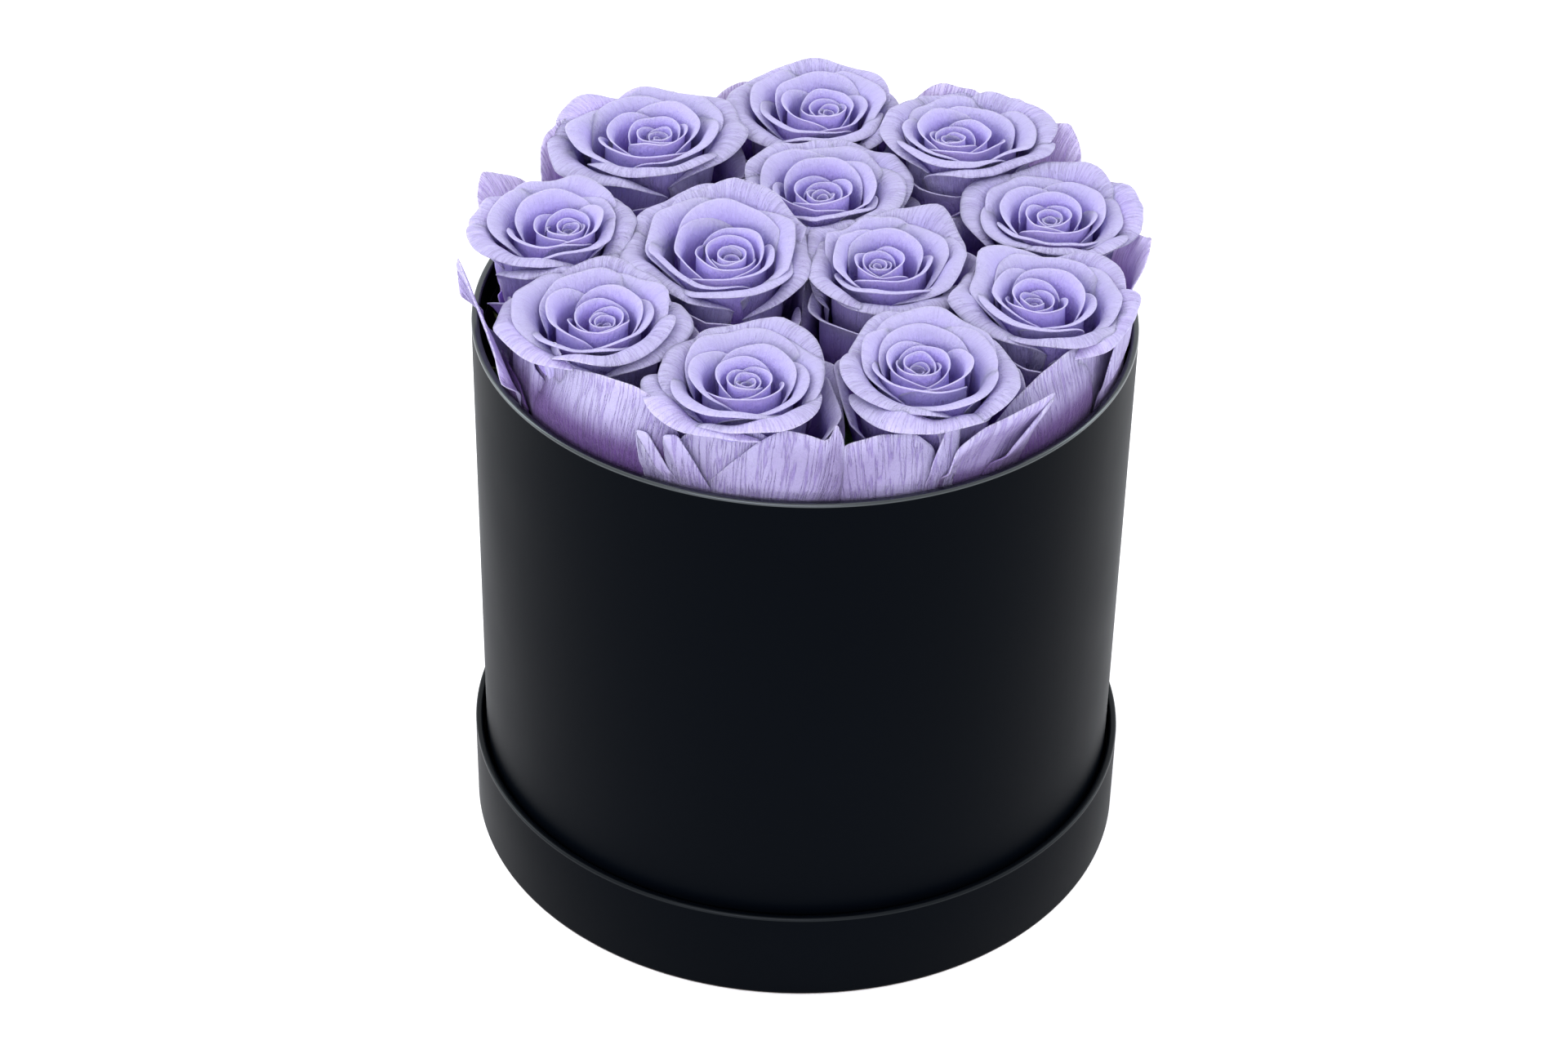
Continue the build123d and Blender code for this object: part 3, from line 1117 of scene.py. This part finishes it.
@dataclass
class PaperShell:
    """The black paper of the box or of the lid.

    Attributes:
        wall: Name of the wall's nodes, before _wrap, _board and _lining.
        panel: Name of the panel's nodes.
        body: The body that they ride on.
        edge: Radius of the rounded open edge.
        foot: Size of the round at the panel's edge.
        paper: Thickness of the paper.
        lap: How far the lining covers the paper that is folded in.
        under: How far the paper is turned under the panel.
    """

    wall: str
    panel: str
    body: str
    edge: float = 1.0
    foot: float = 1.2
    paper: float = 0.2
    lap: float = 5.0
    under: float = 9.8

    def build(self, satin: Material, fold: Material, lining: Material, board: Material) -> None:
        """Replaces the wrap by a finely turned one and dresses the rest.

        Args:
            satin: The covering paper.
            fold: The same paper where it is rubbed shiny round the open edge.
            lining: The paper inside.
            board: The bare greyboard.
        """
        low, high = corners_mm(f"{self.wall}_wrap")
        outer, bottom, top = high[0], low[2], high[2]
        inner = corners_mm(f"{self.panel}_board")[1][0] - self.paper
        turn_in = corners_mm(f"{self.wall}_lining")[1][2] - self.lap
        outline = rounded([
            (inner, top, self.edge),
            (inner, turn_in, 0.0),
            (inner + self.paper, turn_in, 0.0),
            (inner + self.paper, bottom + self.paper, 0.0),
            (inner - self.under, bottom + self.paper, 0.0),
            (inner - self.under, bottom, 0.0),
            (outer, bottom, self.foot),
            (outer, top, self.edge),
        ])
        piece = turned_piece(f"{self.wall}_paper", outline)
        dress(piece, satin, fold)
        middles = np.empty(3 * len(piece.data.polygons))
        piece.data.polygons.foreach_get("center", middles)
        on_rim = middles[2::3] > (top - self.edge) * MM
        piece.data.polygons.foreach_set("material_index", on_rim.astype(np.int32))
        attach(piece, self.body)
        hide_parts(f"{self.wall}_wrap")
        dress_nodes(satin, f"{self.panel}_cover")
        dress_nodes(lining, f"{self.wall}_lining", f"{self.panel}_lining")
        dress_nodes(board, f"{self.wall}_board", f"{self.panel}_board")
        LOG.info("%s: wrapped", self.wall)


# --------------------
# Studio


@dataclass
class Studio:
    """A pale sweep of floor, soft lights and the camera.

    Attributes:
        lens: Focal length on a 36 mm sensor.
        distance: From the camera to the point it looks at, in metres.
        target: That point.
        elevation: Degrees above the horizon.
        roll: Degrees that the camera is turned about its axis.
        floor_mm: From the middle of the floor to its sides.
        floor_glow: Strength of the floor's own light.
        ambient: Strength of the light from all round.
    """

    lens: float = 86.49
    distance: float = 1.1773
    target: tuple[float, float, float] = (-0.00516, 0.0, 0.10379)
    elevation: float = 36.36
    roll: float = 1.136
    floor_mm: float = 6000.0
    floor_glow: float = 0.28
    ambient: float = 1.15

    def put(self, name: str, data: bpy.types.ID, place: Vector, spin: float = 0.0) -> Any:
        """Adds a camera or light at a place in metres, facing the target."""
        thing = bpy.data.objects.new(name, data)
        aim = (Vector(self.target) - place).to_track_quat("-Z", "Y").to_matrix().to_4x4()
        turned = Matrix.Rotation(math.radians(spin), 4, "Z")
        thing.matrix_world = Matrix.Translation(place) @ aim @ turned
        bpy.context.scene.collection.objects.link(thing)
        return thing

    def camera(self) -> None:
        """Sets up the camera in front of the box, looking along +Y."""
        tilt = math.radians(self.elevation)
        back = Vector((0.0, -math.cos(tilt), math.sin(tilt)))
        data = bpy.data.cameras.new("camera")
        data.lens = self.lens
        data.sensor_width = 36.0
        data.clip_start, data.clip_end = 0.01, 20.0
        place = Vector(self.target) + self.distance * back
        bpy.context.scene.camera = self.put("camera", data, place, self.roll)

    def softbox(self, name: str, place: tuple[float, float, float],
                size: tuple[float, float], power: float, colour: Colour) -> None:
        """An area light that faces the middle of the box."""
        data = bpy.data.lights.new(name, "AREA")
        data.shape = "RECTANGLE"
        data.size, data.size_y = size
        data.energy = power
        data.color = colour
        self.put(name, data, Vector(place)).visible_camera = False

    def floor(self) -> None:
        """A wide, nearly white floor."""
        g = Graph("pale_floor")
        tone = g.mix(g.noise(3.0, 2.0), (0.90, 0.90, 0.90), (0.93, 0.93, 0.93))
        corners = np.array([(-1, -1, 0), (1, -1, 0), (1, 1, 0), (-1, 1, 0)])
        floor = new_mesh("floor", corners * self.floor_mm, np.array([[0, 1, 2, 3]]))
        dress(floor, g.finish(tone, Roughness=0.9, Specular_IOR_Level=0.1,
                              Emission_Color=(1.0, 1.0, 1.0, 1.0),
                              Emission_Strength=self.floor_glow))

    def build(self) -> None:
        """Makes the camera, the floor, the lights and the ambient light."""
        self.camera()
        self.floor()
        white, violet, cool = (1.0, 1.0, 1.0), (0.97, 0.93, 1.07), (0.88, 0.96, 1.0)
        self.softbox("top", (-0.25, -0.25, 1.5), (1.4, 1.4), 3.0, white)
        self.softbox("front", (-0.35, -1.5, 0.75), (1.4, 0.6), 12.5, violet)
        self.softbox("left", (-1.1, 0.25, 0.55), (0.5, 1.0), 6.3, cool)
        self.softbox("right", (1.1, 0.25, 0.55), (0.5, 1.0), 5.3, cool)
        world = bpy.data.worlds.new("studio")
        world.use_nodes = True
        background = world.node_tree.nodes["Background"].inputs
        background["Color"].default_value = (0.96, 0.97, 1.0, 1.0)
        background["Strength"].default_value = self.ambient
        bpy.context.scene.world = world
        bpy.context.scene.view_settings.view_transform = "Standard"
        LOG.info("studio: ready")


def main() -> None:
    """Builds the studio, the papers, the insert and the roses."""
    logging.basicConfig(level=logging.INFO, format="%(name)s %(message)s")
    Studio().build()
    satin = PaperFinish().material()
    fold = PaperFinish("folded_paper", roughness=0.26, gloss=0.9).material()
    dull_fold = PaperFinish("folded_lid_paper", roughness=0.30, gloss=0.16).material()
    lining = PaperFinish("lining_paper", (0.006, 0.006, 0.008), 0.7, 0.15, 0.03).material()
    board = board_material()
    PaperShell("box_wall", "box_base", "box").build(satin, fold, lining, board)
    PaperShell("lid_band", "lid_panel", "lid_tray").build(satin, dull_fold, lining, board)
    dress_nodes(board, "riser_ring", "platform_board")
    dress_nodes(foam_material(), "foam_disc")
    build_roses()


if __name__ == "__main__":
    main()
